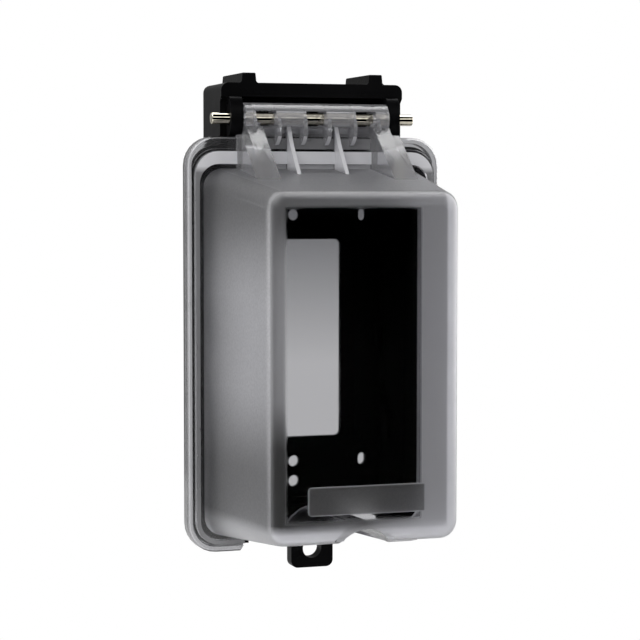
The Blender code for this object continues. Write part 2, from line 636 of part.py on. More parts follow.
def bubble_shell():
    """The clear cover's shell: skirt, stepped flange and bubble outside, then back along the inside."""
    groove_floor = PLATE_FRONT + GROOVE_DEPTH
    root_floor = SHOULDER_FRONT + GROOVE_DEPTH + SHOULDER_RISE / 2
    slope = GROOVE_DEPTH / 3
    band = RIM_BAND
    band_top = RIM_BAND_TOP
    corner = FLANGE_CORNER
    outside = [
        (SKIRT_BACK, flange_outline(0, 0, corner)),
        (PLATE_FRONT + FLANGE_EDGE, flange_outline(0, 0, corner)),
        (PLATE_FRONT, flange_outline(FLANGE_EDGE, FLANGE_EDGE, corner - FLANGE_EDGE)),
        (PLATE_FRONT, flange_outline(band, band_top, corner - band)),
        (groove_floor, flange_outline(band + slope, band_top + slope, corner - band)),
    ]
    band += GROOVE_WIDTH
    band_top += GROOVE_WIDTH
    corner -= RIM_BAND
    outside.append((groove_floor, flange_outline(band - slope, band_top - slope, corner)))
    outside.append((SHOULDER_FRONT, flange_outline(band, band_top, corner - slope)))
    band += SHOULDER_BAND
    band_top += SHOULDER_BAND_TOP
    outside.append((SHOULDER_FRONT, flange_outline(band, band_top, corner - SHOULDER_BAND)))
    outside.append((root_floor, flange_outline(band + slope, band_top + slope, corner - SHOULDER_BAND)))
    outside.append((root_floor, bubble_outline(root_floor)))
    outside += front_edge(BUBBLE_FRONT, BUBBLE_EDGE_RADIUS, 0.0)
    inner_front = BUBBLE_FRONT + COVER_WALL
    inside = front_edge(inner_front, BUBBLE_EDGE_RADIUS - COVER_WALL, COVER_WALL)
    inside.reverse()
    inside.append((PLATE_BACK, bubble_outline(PLATE_BACK, COVER_WALL)))
    inner_corner = FLANGE_CORNER - SKIRT_WALL
    skirt = rounded_outline(SKIRT_INNER_HALF_WIDTH, SKIRT_INNER_HALF_HEIGHT, -SKIRT_INNER_HALF_HEIGHT, inner_corner)
    inside.append((PLATE_BACK, skirt))
    inside.append((SKIRT_BACK, skirt))
    return closed_skin("bubble_cover", outside + inside)


def closed_skin(name, sections):
    """A shell whose last section meets its first, with the two flat fronts filled in."""
    shape = bmesh.new()
    rings = [[shape.verts.new((x, y, z)) for x, z in outline] for y, outline in sections]
    front = 10 + EDGE_STEPS
    for number, ring in enumerate(rings):
        following = rings[(number + 1) % len(rings)]
        if number == front:
            shape.faces.new(ring)
            shape.faces.new(following)
            continue
        for index in range(len(ring)):
            after = (index + 1) % len(ring)
            shape.faces.new((ring[index], ring[after], following[after], following[index]))
    return new_object(name, shape)


def top_wall(y):
    """Height of a line inside the bubble's top wall at depth y."""
    return ROOT_TOP - DRAFT_TOP * (PLATE_FRONT - y) - COVER_WALL / 2


def buttress_outline(front_edge_points, tip_y):
    """Side view of a rib: its front edge, then back through the top wall and the flange plate."""
    inside_plate = PLATE_FRONT + COVER_WALL / 2
    inside_leaf = PIN_Y + LEAF_THICKNESS / 2
    skirt_top = FLANGE_HALF_HEIGHT - SKIRT_WALL / 2
    return front_edge_points + [
        (tip_y, top_wall(tip_y)),
        (inside_plate - COVER_WALL, top_wall(inside_plate - COVER_WALL)),
        (inside_plate, top_wall(inside_plate)),
        (inside_plate, skirt_top),
        (inside_leaf, skirt_top),
        (inside_leaf, BARREL_FRONT_BOTTOM + BARREL_RADIUS / 4),
    ]


def wing_outline(top, rib_top, tip_y):
    """Side view of a rib's outer wing: the rib's own slope, cut off level below the ear."""
    share = (rib_top[1] - top) / (rib_top[1] - top_wall(tip_y))
    front_y = rib_top[0] + share * (tip_y - rib_top[0]) + RIB_INSET
    tip_y += 2 * RIB_INSET
    inside_plate = PLATE_FRONT + COVER_WALL / 2
    ledge = FLANGE_HALF_HEIGHT - SKIRT_WALL / 2
    return [
        (front_y, top),
        (tip_y, top_wall(tip_y)),
        (inside_plate - COVER_WALL, top_wall(inside_plate - COVER_WALL)),
        (inside_plate, top_wall(inside_plate)),
        (inside_plate, ledge),
        (PLATE_FRONT + COVER_WALL / 8, ledge),
        (PLATE_FRONT + COVER_WALL / 8, top),
    ]


def web_outline():
    """Side view of a crescent web beside a pocket, bulging forward below the pin."""
    centre_y = PIN_Y - WEB_FORWARD
    centre_z = PIN_Z - WEB_DROP
    back = PIN_Y + LEAF_THICKNESS / 2
    half_angle = math.acos(max(-1.0, min(1.0, (centre_y - back) / WEB_RADIUS)))
    points = []
    for step in range(ROUND_STEPS + 1):
        angle = math.pi - half_angle + 2 * half_angle * step / ROUND_STEPS
        points.append((centre_y + WEB_RADIUS * math.cos(angle), centre_z + WEB_RADIUS * math.sin(angle)))
    return points


def hinge_leaf():
    """The round barrel with its flat underside, the leaf below it, its webs, gussets and outer ribs."""
    length = (-BARREL_HALF_LENGTH, BARREL_HALF_LENGTH)
    leaf_back = PIN_Y + LEAF_THICKNESS
    leaf = rod("hinge_leaf", (PIN_Y, PIN_Z), BARREL_RADIUS, length)
    underside = (PIN_Z - 2 * BARREL_RADIUS, BARREL_FRONT_BOTTOM)
    spare = (-BARREL_HALF_LENGTH - REACH, BARREL_HALF_LENGTH + REACH)
    cut(leaf, block("underside", spare, (PIN_Y - REACH, PIN_Y), underside))
    skirt_top = FLANGE_HALF_HEIGHT - SKIRT_WALL / 2
    add(leaf, block("leaf", length, (PIN_Y, leaf_back), (skirt_top, PIN_Z - PIN_RADIUS)))
    for number in (-1, 0, 1):
        centre_x = number * POCKET_PITCH + POCKET_SHIFT
        pocket_x = (centre_x - POCKET_HALF_WIDTH, centre_x + POCKET_HALF_WIDTH)
        pocket_z = (PIN_Z - POCKET_HALF_HEIGHT, PIN_Z + POCKET_HALF_HEIGHT)
        cut(leaf, block("pocket", pocket_x, (PIN_Y - REACH, PIN_Y + REACH), pocket_z))
        for side in (-1, 1):
            edge = centre_x + side * POCKET_HALF_WIDTH
            add(leaf, plate("web", web_outline(), sorted((edge, edge + side * WEB_THICKNESS))))
    return leaf


def add_ribs(cover):
    """Two thin gussets between the pockets, and an outer rib at each end of the barrel."""
    gusset_tip = PIN_Y - GUSSET_TIP_REACH
    gusset_edge = [
        (PIN_Y - GUSSET_TOP_REACH, BARREL_FRONT_BOTTOM + BARREL_RADIUS / 4),
        (PIN_Y - GUSSET_TOP_REACH, BARREL_FRONT_BOTTOM),
        (PIN_Y - GUSSET_KNEE_REACH, PIN_Z - GUSSET_KNEE_DROP),
    ]
    rib_tip = PIN_Y - RIB_TIP_REACH
    rib_edge = [
        (PIN_Y - BARREL_RADIUS / 2, BARREL_FRONT_BOTTOM + BARREL_RADIUS / 4),
        (PIN_Y - BARREL_RADIUS / 2, BARREL_FRONT_BOTTOM),
        (PIN_Y - RIB_TOP_REACH, BARREL_FRONT_BOTTOM),
    ]
    wing_top = PIN_Z - RIB_WING_DROP
    for side in (-1, 1):
        middle = side * GUSSET_HALF_PITCH + GUSSET_SHIFT
        gusset_x = (middle - GUSSET_THICKNESS / 2, middle + GUSSET_THICKNESS / 2)
        add(cover, plate("gusset", buttress_outline(gusset_edge, gusset_tip), gusset_x))
        rib_outer = BARREL_HALF_LENGTH - RIB_INSET
        rib_x = sorted((side * rib_outer, side * (rib_outer - RIB_THICKNESS)))
        add(cover, plate("outer_rib", buttress_outline(rib_edge, rib_tip), rib_x))
        wing_inner = BARREL_HALF_LENGTH - RIB_THICKNESS / 4
        wing_x = sorted((side * wing_inner, side * (BARREL_HALF_LENGTH + RIB_WING_WIDTH)))
        add(cover, plate("rib_wing", wing_outline(wing_top, rib_edge[-1], rib_tip), wing_x))


def cut_flange_gap(cover):
    """The gap in the bottom run of the flange, with slanted ends."""
    narrow = CUTOUT_HALF_WIDTH
    wide = CUTOUT_HALF_WIDTH + CUTOUT_SLANT
    below = -FLANGE_HALF_HEIGHT - REACH
    rim_middle = -FLANGE_HALF_HEIGHT + RIM_BAND
    outline = [
        (-narrow, CUTOUT_TOP),
        (-narrow, rim_middle),
        (-wide, -FLANGE_HALF_HEIGHT),
        (-wide, below),
        (wide, below),
        (wide, -FLANGE_HALF_HEIGHT),
        (narrow, rim_middle),
        (narrow, CUTOUT_TOP),
    ]
    cut(cover, loft("flange_gap", [(SHOULDER_FRONT - REACH, outline), (SKIRT_BACK + REACH, outline)]))


def add_arch(cover):
    """The padlock arch: a half tube raised inside the bottom wall, then cut open from below."""
    front = BUBBLE_FRONT + COVER_WALL / 2
    outer = ARCH_RADIUS + ARCH_WALL
    middle_front = ROOT_BOTTOM + DRAFT_BOTTOM * (PLATE_FRONT - front) + COVER_WALL / 2
    middle_back = ROOT_BOTTOM + COVER_WALL / 2
    centre_front = ARCH_CROWN_FRONT - ARCH_RADIUS
    centre_back = ARCH_CROWN_BACK - ARCH_RADIUS
    raised_front = segment(outer, centre_front, middle_front)
    raised_back = segment(outer, centre_back, middle_back)
    add(cover, loft("arch_tube", [(front, raised_front), (PLATE_BACK - COVER_WALL / 8, raised_back)]))
    slope = (centre_back - centre_front) / (PLATE_BACK - front)
    sections = []
    for y in (front - REACH, PLATE_BACK + REACH):
        centre = centre_front + slope * (y - front)
        arc = segment(ARCH_RADIUS, centre, centre)
        legs = [(-ARCH_RADIUS, -FLANGE_HALF_HEIGHT - REACH), (ARCH_RADIUS, -FLANGE_HALF_HEIGHT - REACH)]
        sections.append((y, arc + legs))
    cut(cover, loft("arch_cut", sections))


def bubble_cover(clear_plastic):
    cover = bubble_shell()
    add(cover, hinge_leaf())
    add_ribs(cover)
    bore_x = (-BARREL_HALF_LENGTH - REACH, BARREL_HALF_LENGTH + REACH)
    cut(cover, rod("barrel_bore", (PIN_Y, PIN_Z), PIN_RADIUS + HINGE_CLEARANCE, bore_x))
    cut_flange_gap(cover)
    add_arch(cover)
    label_top = LABEL_Z + LABEL_HALF_HEIGHT
    label_bottom = LABEL_Z - LABEL_HALF_HEIGHT
    label = rounded_outline(LABEL_HALF_WIDTH, label_top, label_bottom, LABEL_CORNER)
    add(cover, loft("label_plate", [(BUBBLE_FRONT - LABEL_THICKNESS, label), (BUBBLE_FRONT + COVER_WALL / 2, label)]))
    return finish(cover, clear_plastic, (0, PIN_Y, PIN_Z))


def main():
    clear_scene()
    wall_gasket(material("black_foam", (0.03, 0.03, 0.032), 0.95))
    base_housing(material("black_moulded_plastic", (0.012, 0.012, 0.014), 0.32))
    hinge_pin(material("nickel_steel", (0.62, 0.58, 0.47), 0.22, metallic=1.0))
    bubble_cover(material("clear_polycarbonate", (0.62, 0.63, 0.66), 0.18, alpha=0.45))


main()
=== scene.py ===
"""Looks of a weatherproof in-use box: black moulded base, clear bubble cover, plated pin and foam gasket."""

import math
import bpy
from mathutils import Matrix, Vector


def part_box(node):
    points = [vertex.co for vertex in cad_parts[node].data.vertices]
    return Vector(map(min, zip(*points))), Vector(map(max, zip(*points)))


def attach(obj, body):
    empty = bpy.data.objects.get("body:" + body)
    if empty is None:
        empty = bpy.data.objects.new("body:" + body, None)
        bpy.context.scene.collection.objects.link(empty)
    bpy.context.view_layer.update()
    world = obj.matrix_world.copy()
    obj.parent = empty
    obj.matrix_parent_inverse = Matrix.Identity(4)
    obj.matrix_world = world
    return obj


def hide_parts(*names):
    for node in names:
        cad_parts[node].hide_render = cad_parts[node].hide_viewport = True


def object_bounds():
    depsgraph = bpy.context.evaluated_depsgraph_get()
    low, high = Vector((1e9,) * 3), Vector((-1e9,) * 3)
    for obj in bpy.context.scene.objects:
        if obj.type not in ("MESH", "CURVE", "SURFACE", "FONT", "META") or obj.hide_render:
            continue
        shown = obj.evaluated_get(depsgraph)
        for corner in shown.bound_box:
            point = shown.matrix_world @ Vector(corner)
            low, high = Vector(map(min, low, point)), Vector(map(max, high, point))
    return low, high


bl_info = {
    "name": "Weatherproof Box",
    "version": (1, 0, 0),
    "blender": (4, 5, 0),
    "location": "View3D > Sidebar > Weatherproof Box",
    "description": "Dresses the packed weatherproof box in its finishes and lights it",
    "category": "Object",
}

import bpy
from mathutils import Vector

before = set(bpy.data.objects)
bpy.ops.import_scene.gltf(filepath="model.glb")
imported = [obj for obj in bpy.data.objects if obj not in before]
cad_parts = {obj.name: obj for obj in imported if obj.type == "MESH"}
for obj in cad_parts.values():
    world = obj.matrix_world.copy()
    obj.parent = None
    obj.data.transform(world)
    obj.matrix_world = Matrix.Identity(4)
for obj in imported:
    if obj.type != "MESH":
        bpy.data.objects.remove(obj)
CAD_BOUNDS = [list(corner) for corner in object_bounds()]

# How meshes are cleaned, rounded and shaded
MERGE_DISTANCE = 0.00002
FLAT_ANGLE = math.radians(0.6)
EDGE_ANGLE = math.radians(40)
EDGE_SEGMENTS = 2
SMOOTH_ANGLE = math.radians(34)
FLAT_WEIGHT = 100
PIN_SIDES = 64
PIN_EDGE_ANGLE = math.radians(60)
PIN_EDGE_SEGMENTS = 3
PIN_SMOOTH_ANGLE = math.radians(25)

# The hinge pin, from its CAD node
PIN_LOW, PIN_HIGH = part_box("hinge_pin")
PIN_LENGTH = PIN_HIGH.x - PIN_LOW.x
PIN_RADIUS = (PIN_HIGH.z - PIN_LOW.z) / 2
PIN_CENTRE = (PIN_LOW + PIN_HIGH) / 2

# Places on the cover, in metres
COVER_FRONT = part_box("bubble_cover")[0].y
FLANGE_FRONT = -0.0275
BUBBLE_FOOT = -0.0515
HINGE_FOOT = 0.0673

# The clear window in the bubble's front
WINDOW_LEFT = -0.0258
WINDOW_RIGHT = 0.0177
WINDOW_BOTTOM = -0.0509
WINDOW_TOP = 0.0445
WINDOW = (WINDOW_LEFT, WINDOW_RIGHT, WINDOW_BOTTOM, WINDOW_TOP)
WINDOW_SOFTNESS = 0.0006

# The blank plate, and the rectangle inside its pale outline
PLATE_HALF_WIDTH = 0.0192
PLATE_BOTTOM = -0.0487
PLATE_TOP = -0.0395
PLATE_DEPTH = 0.0003
PLATE_FACE = (-0.0186, 0.0186, -0.0485, -0.0403)
PLATE_SOFTNESS = 0.00015

# Limits that tell the parts of the cover from each other
PANE_DEPTH = 0.0062
WALL_BACK = FLANGE_FRONT - 0.0014
RIB_BOTTOM = 0.0545
RIB_BACK = FLANGE_FRONT - 0.0015
GUSSET_REACH = 0.016
ROOF_BOTTOM = 0.04
ARCH_HALF_WIDTH = 0.0097
ARCH_CROWN = -0.0528
GROOVE_HALF_WIDTH = 0.0394
GROOVE_BOTTOM = -0.0634
GROOVE_TOP = 0.0586
GROOVE_FRONT = FLANGE_FRONT - 0.0003

# Least or most share of a face's normal along an axis
FACING_FRONT = 0.5
FACING_UP = 0.97
ALONG_ARCH = 0.25

# Fades along one axis: the place where each starts, and the place where it is complete
# Painted highlights fade in over these two spans: along the bubble's bottom edge, and along the window's
# right edge
FOOT_FADE = (BUBBLE_FOOT, BUBBLE_FOOT - 0.003)
RIGHT_EDGE_HIGHLIGHT_FADE = (0.0258, 0.0266)
ACROSS_FADE = (WINDOW_LEFT, WINDOW_RIGHT)
# The pale strip of painted light at the window's right fades in over this span
STRIP_FADE = (WINDOW_RIGHT - 0.004, WINDOW_RIGHT)
# The window's painted shade grows over this span, towards its top
SHADE_FADE = (-0.002, WINDOW_TOP)
# The rim's painted shade at its lower left, and its painted light at its lower right, grow downwards over
# these spans
LEFT_RIM_SHADE_FADE = (-0.014, -0.028)
RIGHT_RIM_LIGHT_FADE = (0.0, -0.03)
# The walls' painted light and shade fade in over these spans: on the right, from the flange forwards, near
# the top and near the foot
WALL_RIGHT_LIGHT_FADE = (0.01, 0.02)
WALL_FRONT_FADE = (FLANGE_FRONT - 0.002, FLANGE_FRONT - 0.016)
WALL_TOP_SHADE_FADE = (0.018, 0.045)
WALL_FOOT_SHADE_FADE = (-0.012, -0.036)
# The flange's painted shade in its grooves, and the painted highlight on its topmost shoulder, fade in over
# these spans
BAND_FADE = (FLANGE_FRONT + 0.0005, FLANGE_FRONT + 0.0002)
SHOULDER_FADE = (FLANGE_FRONT - 0.0008, FLANGE_FRONT - 0.0012)
SHOULDER_TOP_FADE = (0.0555, 0.0575)
# The painted light between the ribs starts over this span
RIB_SPACE_LIGHT_FADE = (0.0545, 0.056)

# Where the ribs stand beside the stretch of the groove that gets painted light
RIB_PLACE = 0.024
RIB_SOFTNESS = 0.003

# The stage
LAMP_SIZE = 0.9
KEY_PLACE = (-0.9, -0.7, 1.1)
FILL_PLACE = (1.1, -0.5, 0.5)
FLOOR_SIZE = 0.8
PAPER = (0.9, 0.9, 0.9)
BRIGHT_PAPER = (0.93, 0.93, 0.93)

# Levels of the surround: each point is a place on an axis of the direction, moved to 0..1, and a level
SIDE_BOXES = ((0.0, 0.005), (0.36, 0.01), (0.52, 0.75), (0.68, 0.8), (0.85, 0.08), (1.0, 0.06))
FRONT_BOX = ((0.0, 0.0), (0.57, 0.0), (0.62, 1.0), (0.74, 1.0), (0.79, 0.0), (1.0, 0.0))
FRONT_BOX_EDGE = (-0.4, -0.6)
DARK_FRONT_EDGE = (-0.75, 0.1)

POLYCARBONATE_IOR = 1.56
WHITE = (1.0, 1.0, 1.0, 1.0)


# Kinds of settings


def length_setting(name, description, default):
    return bpy.props.FloatProperty(name=name, description=description, default=default, unit="LENGTH")


def angle_setting(name, description, degrees):
    angle = math.radians(degrees)
    return bpy.props.FloatProperty(name=name, description=description, default=angle, unit="ROTATION")


def level_setting(name, description, default):
    return bpy.props.FloatProperty(name=name, description=description, default=default)


def colour_setting(name, description, default):
    return bpy.props.FloatVectorProperty(
        name=name, description=description, size=3, subtype="COLOR", default=default
    )


class BoxSizes(bpy.types.PropertyGroup):
    """How far the edges are rounded"""

    base_edge: length_setting("Base edge rounding", "Radius on the base's moulded edges", 0.00035)
    cover_edge: length_setting("Cover edge rounding", "Radius on the clear cover's edges", 0.0003)
    pin_chamfer: length_setting("Pin chamfer", "Chamfer at the ends of the hinge pin", 0.00045)
    gasket_edge: length_setting("Gasket edge rounding", "Rounding of the cut foam's edges", 0.0003)


class BoxColours(bpy.types.PropertyGroup):
    """Colours and tints of the box"""

    base: colour_setting("Base", "Colour of the black moulding", (0.0035, 0.0035, 0.0038))
    # The window is coloured between these two: its darker top is a painted shade
    clear: colour_setting("Clear window", "Tint of the window at its foot", (0.46, 0.46, 0.475))
    window_top_painted_shade: colour_setting("Window top", "Darker tint of the window at its top", (0.13, 0.132, 0.142))
    # Also the base of the window's pale strip of painted light, and of the painted light and shade in the
    # groove and on the flange
    milk: colour_setting("Flange and hinge", "Tint of the thick, slightly milky parts", (0.88, 0.88, 0.91))
    plate: colour_setting("Blank plate", "Tint of the textured plate near the bottom", (0.22, 0.22, 0.23))
    # Also the base of the rim's painted light and shade, and of the walls' and roof's painted light and
    # shade
    frost: colour_setting("Frosted walls", "Tint of the frosted walls", (0.58, 0.58, 0.61))
    steel: colour_setting("Pin", "Colour of the plated pin", (0.70, 0.66, 0.55))
    foam: colour_setting("Foam", "Colour of the wall gasket", (0.03, 0.03, 0.032))


class BoxStage(bpy.types.PropertyGroup):
    """Camera, floor and light"""

    eye: bpy.props.FloatVectorProperty(
        name="Camera place", description="Where the camera stands", size=3, unit="LENGTH",
        default=(-0.212318, -0.672996, 0.0493215),
    )
    azimuth: angle_setting("Camera turn", "Angle of the view about the upright axis", -18.333)
    elevation: angle_setting("Camera tilt", "How far the camera looks down", 3.518)
    lens: level_setting("Lens", "Focal length in millimetres on a 36 mm sensor", 117.228)
    floor_drop: length_setting("Floor drop", "Distance from the box's lowest point to the floor", 0.03)
    key: level_setting("Key lamp", "Power of the large lamp at the upper left", 7.0)
    fill: level_setting("Fill lamp", "Power of the lamp at the right", 2.5)
    around: level_setting("Surround", "Level of the light from all round", 0.55)
    front_dark: level_setting("Front level", "Level that clear plastic sees behind the camera", 0.05)
    side_boxes: level_setting("Side boxes", "Level of the soft boxes beside and above the box", 6.0)
    front_box: level_setting("Front box", "Level of the soft box in front of and above the box", 1.3)


# Helpers for nodes


def noise(tree, place, scale, detail=3.0, stretch=None):
    """Noise of that scale, per metre, on the object's own coordinates."""
    if stretch:
        mapping = tree.nodes.new("ShaderNodeMapping")
        mapping.inputs["Scale"].default_value = stretch
        tree.links.new(place, mapping.inputs["Vector"])
        place = mapping.outputs["Vector"]
    made = tree.nodes.new("ShaderNodeTexNoise")
    made.inputs["Scale"].default_value = scale
    made.inputs["Detail"].default_value = detail
    tree.links.new(place, made.inputs["Vector"])
    return made.outputs["Fac"]


def spread(tree, value, low, high, start=0.3, stop=0.7):
    """Maps a value from start..stop to low..high; the defaults suit a noise."""
    made = tree.nodes.new("ShaderNodeMapRange")
    made.inputs["From Min"].default_value = start
    made.inputs["From Max"].default_value = stop
    made.inputs["To Min"].default_value = low
    made.inputs["To Max"].default_value = high
    tree.links.new(value, made.inputs["Value"])
    return made.outputs["Result"]


def between(tree, share, low, high):
    """Maps a share from 0..1 to low..high."""
    return spread(tree, share, low, high, 0.0, 1.0)


def feed(tree, socket, value):
    """Gives a socket a number, or links it to the output of another node."""
    if isinstance(value, (int, float)):
        socket.default_value = value
    else:
        tree.links.new(value, socket)


def math_node(tree, operation, *values):
    """One Math node, fed with numbers or with outputs of other nodes."""
    made = tree.nodes.new("ShaderNodeMath")
    made.operation = operation
    for socket, value in zip(made.inputs, values):
        feed(tree, socket, value)
    return made.outputs[0]


def choose(tree, test, otherwise, when):
    """The value when where the test is 1, and otherwise elsewhere."""
    made = tree.nodes.new("ShaderNodeMix")
    tree.links.new(test, made.inputs["Factor"])
    feed(tree, made.inputs["A"], otherwise)
    feed(tree, made.inputs["B"], when)
    return made.outputs["Result"]


def axis_value(tree, place, axis):
    split = tree.nodes.new("ShaderNodeSeparateXYZ")
    tree.links.new(place, split.inputs[0])
    return split.outputs[axis]


def axis_share(tree, place, axis, fade):
    """0 at the fade's start and 1 at its end, along one axis of the object's own coordinates."""
    return spread(tree, axis_value(tree, place, axis), 0.0, 1.0, *fade)


def beyond(tree, place, axis, low, high, softness):
    """0 between two places on an axis, rising to 1 past each of them."""
    middle = math_node(tree, "SUBTRACT", axis_value(tree, place, axis), (low + high) / 2)
    away = math_node(tree, "ABSOLUTE", middle)
    half = (high - low) / 2
    return spread(tree, away, 0.0, 1.0, half - softness, half + softness)


def outside_box(tree, place, box, softness):
    """0 in a rectangle of the front, given as left, right, bottom and top, rising to 1 at its edges."""
    left, right, bottom, top = box
    aside = beyond(tree, place, "X", left, right, softness)
    return math_node(tree, "MAXIMUM", aside, beyond(tree, place, "Z", bottom, top, softness))


def blend(tree, share, first, second):
    """Mixes two colour outputs."""
    made = tree.nodes.new("ShaderNodeMix")
    made.data_type = "RGBA"
    tree.links.new(share, made.inputs["Factor"])
    tree.links.new(first, made.inputs["A"])
    tree.links.new(second, made.inputs["B"])
    return made.outputs["Result"]


def tint(tree, share, first, second):
    """Mixes two fixed colours."""
    made = tree.nodes.new("ShaderNodeMix")
    made.data_type = "RGBA"
    made.inputs["A"].default_value = (*first, 1.0)
    made.inputs["B"].default_value = (*second, 1.0)
    tree.links.new(share, made.inputs["Factor"])
    return made.outputs["Result"]


def scaled(colour, factor):
    return tuple(min(1.0, channel * factor) for channel in colour)


def shades(tree, share, colour, start, stop):
    """A colour that goes from one strength of itself to another."""
    return tint(tree, share, scaled(colour, start), scaled(colour, stop))


# Helpers for finishes


def new_finish(name, colour, roughness):
    """A material with its shader and the output of an Object coordinate node."""
    finish = bpy.data.materials.new(name)
    finish.use_nodes = True
    tree = finish.node_tree
    shader = tree.nodes["Principled BSDF"]
    shader.inputs["Base Color"].default_value = (*colour, 1.0)
    shader.inputs["Roughness"].default_value = roughness
    finish.diffuse_color = (*colour, 1.0)
    place = tree.nodes.new("ShaderNodeTexCoord")
    return finish, tree, shader, place.outputs["Object"]


def new_clear_finish(name, colour, roughness):
    """A new finish that refracts as polycarbonate does."""
    finish, tree, shader, place = new_finish(name, colour, roughness)
    shader.inputs["IOR"].default_value = POLYCARBONATE_IOR
    return finish, tree, shader, place


def bump(tree, shader, heights, distance, strength):
    """Adds relief of that many metres from one height value."""
    made = tree.nodes.new("ShaderNodeBump")
    made.inputs["Distance"].default_value = distance
    made.inputs["Strength"].default_value = strength
    tree.links.new(heights, made.inputs["Height"])
    tree.links.new(made.outputs["Normal"], shader.inputs["Normal"])


def mould_waves(tree, shader, place, low, high):
    """Slow waves in a thick part's surface and gloss; gives their share, to colour it by."""
    wave = noise(tree, place, scale=120, detail=3)
    tree.links.new(spread(tree, wave, low, high), shader.inputs["Roughness"])
    bump(tree, shader, wave, distance=0.000002, strength=0.6)
    return spread(tree, wave, 0.0, 1.0)


def fine_grain(tree, shader, place):
    """The grain of a textured face, as relief; gives its noise."""
    grain = noise(tree, place, scale=3200, detail=2)
    bump(tree, shader, grain, distance=0.00003, strength=0.6)
    return grain


# Finishes


def black_plastic(colours):
    """Moulded black plastic: faint orange peel, and a gloss and colour that wander a little."""
    finish, tree, shader, place = new_finish("black_moulded_plastic", colours.base, 0.3)
    shader.inputs["Specular IOR Level"].default_value = 0.03
    cloud = noise(tree, place, scale=55, detail=4)
    tree.links.new(spread(tree, cloud, 0.24, 0.40), shader.inputs["Roughness"])
    shade = shades(tree, spread(tree, cloud, 0.0, 1.0), colours.base, 1.0, 1.7)
    tree.links.new(shade, shader.inputs["Base Color"])
    peel = noise(tree, place, scale=2600, detail=2)
    bump(tree, shader, peel, distance=0.00002, strength=0.5)
    return finish


def clear_plastic(colours):
    """The bubble's front: a polished window inside a blurred rim, with painted shade darkening the window
    towards its top, a pale strip of painted light at its right, a rim with painted shade at its lower left
    and painted light at its right, and painted highlights along its bottom and right edges.
    """
    finish, tree, shader, place = new_clear_finish("clear_polycarbonate", colours.clear, 0.03)
    wave = noise(tree, place, scale=90, detail=2)
    share = spread(tree, wave, 0.0, 1.0)
    rim_share = outside_box(tree, place, WINDOW, WINDOW_SOFTNESS)
    rough = math_node(tree, "MULTIPLY_ADD", rim_share, 0.4, spread(tree, wave, 0.02, 0.05))
    tree.links.new(rough, shader.inputs["Roughness"])
    across = axis_share(tree, place, "X", ACROSS_FADE)
    # Painted highlights along the bottom edge and the right edge of the front
    foot = axis_share(tree, place, "Z", FOOT_FADE)
    painted_edge_highlights = math_node(tree, "MAXIMUM", foot, axis_share(tree, place, "X", RIGHT_EDGE_HIGHLIGHT_FADE))
    # Painted light: the rim turns milky towards the right, standing in for light seen through the right
    # wall; the edge highlights turn it milky too
    rim_painted_light = math_node(tree, "MULTIPLY", rim_share, spread(tree, across, 0.05, 0.22, 0.7, 1.0))
    milky = math_node(tree, "MAXIMUM", rim_painted_light, between(tree, painted_edge_highlights, 0.0, 0.4))
    tree.links.new(between(tree, milky, 0.992, 0.0), shader.inputs["Transmission Weight"])
    # Painted shade: the window is coloured darker towards its top
    shaded = tint(tree, axis_share(tree, place, "Z", SHADE_FADE), colours.clear, colours.window_top_painted_shade)
    # Painted light: a pale strip at the window's right
    painted_light_strip = shades(tree, share, colours.milk, 1.0, 0.96)
    pane = blend(tree, axis_share(tree, place, "X", STRIP_FADE), shaded, painted_light_strip)
    # Painted shade and light on the rim: darker towards its lower left, lighter towards its right
    left_rim = shades(tree, axis_share(tree, place, "Z", LEFT_RIM_SHADE_FADE), colours.frost, 0.5, 0.1)
    right_rim = shades(tree, axis_share(tree, place, "Z", RIGHT_RIM_LIGHT_FADE), colours.frost, 1.0, 1.1)
    # Painted highlight: the paler colour of these edges
    painted_highlight_rim = shades(tree, share, colours.frost, 1.5, 1.6)
    rim = blend(tree, painted_edge_highlights, blend(tree, across, left_rim, right_rim), painted_highlight_rim)
    tree.links.new(blend(tree, rim_share, pane, rim), shader.inputs["Base Color"])
    bump(tree, shader, wave, distance=0.0000005, strength=0.6)
    return finish


def hinge_plastic(name, colour, transmission, low, high):
    """The thick hinge, its ribs and gussets: light, and not quite clear."""
    finish, tree, shader, place = new_clear_finish(name, colour, low)
    shader.inputs["Transmission Weight"].default_value = transmission
    shader.inputs["Specular IOR Level"].default_value = 0.25
    share = mould_waves(tree, shader, place, low, high)
    tree.links.new(shades(tree, share, colour, 1.0, 0.94), shader.inputs["Base Color"])
    return finish


def groove_plastic(colours):
    """The groove round the bubble and the arch at its foot: clear, darkened by painted shade, but with
    painted light between the ribs.
    """
    finish, tree, shader, place = new_clear_finish("groove_polycarbonate", colours.milk, 0.1)
    share = mould_waves(tree, shader, place, 0.08, 0.14)
    beside = beyond(tree, place, "X", -RIB_PLACE, RIB_PLACE, RIB_SOFTNESS)
    above = axis_share(tree, place, "Z", RIB_SPACE_LIGHT_FADE)
    # Painted light between the ribs, above their foot; elsewhere a painted shade darkens the groove
    light = math_node(tree, "MULTIPLY", between(tree, beside, 1.0, 0.0), above)
    dark = shades(tree, share, colours.milk, 0.5, 0.45)
    pale = shades(tree, share, colours.milk, 1.0, 0.94)
    tree.links.new(blend(tree, light, dark, pale), shader.inputs["Base Color"])
    tree.links.new(between(tree, light, 0.92, 0.25), shader.inputs["Transmission Weight"])
    return finish


